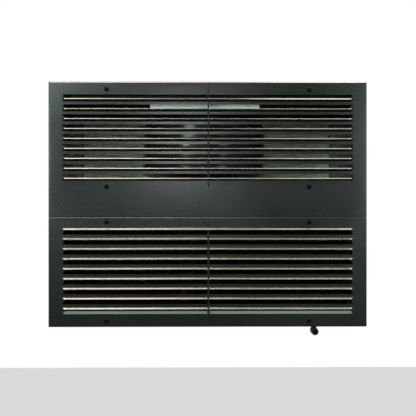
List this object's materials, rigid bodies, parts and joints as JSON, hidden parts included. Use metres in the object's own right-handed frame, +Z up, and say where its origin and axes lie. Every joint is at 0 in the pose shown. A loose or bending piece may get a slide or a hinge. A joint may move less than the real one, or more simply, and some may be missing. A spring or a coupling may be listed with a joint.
{
  "type": "monoblock refrigeration unit",
  "caption": "Through-the-wall monoblock refrigeration unit: louvred warm-side cabinet with compressor and condenser, insulated wall plug and cold-side evaporator section.",
  "frame": {"origin": "on the wall gasket's face, below the middle of the wall opening, at the height of the cabinet's base", "axes": "+X to the right as seen from the louvred front, +Y into the cold-room wall (the front faces -Y), +Z up"},
  "size_m": [0.694, 0.786, 0.546],
  "materials": {
    "panel_coat": "satin fine-texture dark green-grey powder coat",
    "frame_coat": "satin dark green-grey powder coat",
    "screw_black": "satin black oxide",
    "foam_dark": "open-cell acoustic foam",
    "galvanised": "spangled zinc",
    "shell_black": "gloss black enamel",
    "motor_steel": "satin dark enamel",
    "rubber_black": "matt",
    "zinc": "bright zinc",
    "copper": "drawn copper tube",
    "brass_fitting": "turned brass",
    "drier_coat": "gloss enamel",
    "fin_black": "black epoxy-coated fins",
    "fin_bare": "bare fins",
    "plastic_black": "moulded black",
    "capacitor_can": "drawn can",
    "plastic_pale": "moulded",
    "plug_skin": "foam block in a pale moulded skin",
    "white_coat": "white powder coat",
    "guard_wire": "black powder-coated wire"
  },
  "bodies": {
    "case": {"upper_front_panel": "panel_coat", "lower_front_panel": "panel_coat", "upper_louvre_stay": "frame_coat", "lower_louvre_stay": "frame_coat", "front_panel_screws": "screw_black", "left_post": "frame_coat", "right_post": "frame_coat", "mid_rail": "frame_coat", "left_side_panel": "panel_coat", "right_side_panel": "panel_coat", "top_cover": "panel_coat", "top_liner": "foam_dark", "base_pan": "frame_coat", "case_screws": "screw_black", "mid_deck": "galvanised", "bulkhead": "galvanised", "wiring_tray": "galvanised", "compressor_upper_shell": "shell_black", "compressor_lower_shell": "shell_black", "compressor_motor": "motor_steel", "compressor_feet": "shell_black", "compressor_grommets": "rubber_black", "compressor_bolts": "zinc", "terminal_cover": "plastic_black", "discharge_line": "copper", "suction_line": "rubber_black", "liquid_line": "copper", "feed_line": "copper", "filter_drier": "drier_coat", "expansion_valve": "brass_fitting", "condenser_fins": "fin_black", "condenser_tubes": "fin_black", "condenser_end_plates": "fin_black", "fan_shroud": "plastic_black", "left_condenser_motor": "motor_steel", "right_condenser_motor": "motor_steel", "electrical_box": "galvanised", "electrical_box_lid": "galvanised", "contactor": "plastic_black", "run_capacitor": "capacitor_can", "terminal_block": "plastic_pale", "cable_gland": "plastic_black", "drain_spout": "plastic_black", "drain_pipe": "plastic_pale", "insulated_plug": "plug_skin", "wall_flange": "galvanised", "wall_gasket": "rubber_black", "evaporator_cover": "white_coat", "evaporator_fan_plate": "white_coat", "evaporator_fins": "fin_bare", "evaporator_tubes": "copper", "evaporator_end_plates": "galvanised", "left_evaporator_motor": "motor_steel", "right_evaporator_motor": "motor_steel", "evaporator_fan_guards": "guard_wire", "drip_tray": "white_coat"},
    "left_condenser_fan_rotor": {"left_condenser_fan": "plastic_black"},
    "right_condenser_fan_rotor": {"right_condenser_fan": "plastic_black"},
    "left_evaporator_fan_rotor": {"left_evaporator_fan": "plastic_black"},
    "right_evaporator_fan_rotor": {"right_evaporator_fan": "plastic_black"}
  },
  "joints": [
    {"name": "left_condenser_fan_spin", "type": "hinge", "parent": "case", "child": "left_condenser_fan_rotor", "pos_m": [-0.14, -0.296, 0.1252], "axis": [0, 1, 0], "continuous": true},
    {"name": "right_condenser_fan_spin", "type": "hinge", "parent": "case", "child": "right_condenser_fan_rotor", "pos_m": [0.14, -0.296, 0.1252], "axis": [0, 1, 0], "continuous": true},
    {"name": "left_evaporator_fan_spin", "type": "hinge", "parent": "case", "child": "left_evaporator_fan_rotor", "pos_m": [-0.132, 0.372, 0.26], "axis": [0, 1, 0], "continuous": true},
    {"name": "right_evaporator_fan_spin", "type": "hinge", "parent": "case", "child": "right_evaporator_fan_rotor", "pos_m": [0.132, 0.372, 0.26], "axis": [0, 1, 0], "continuous": true}
  ]
}
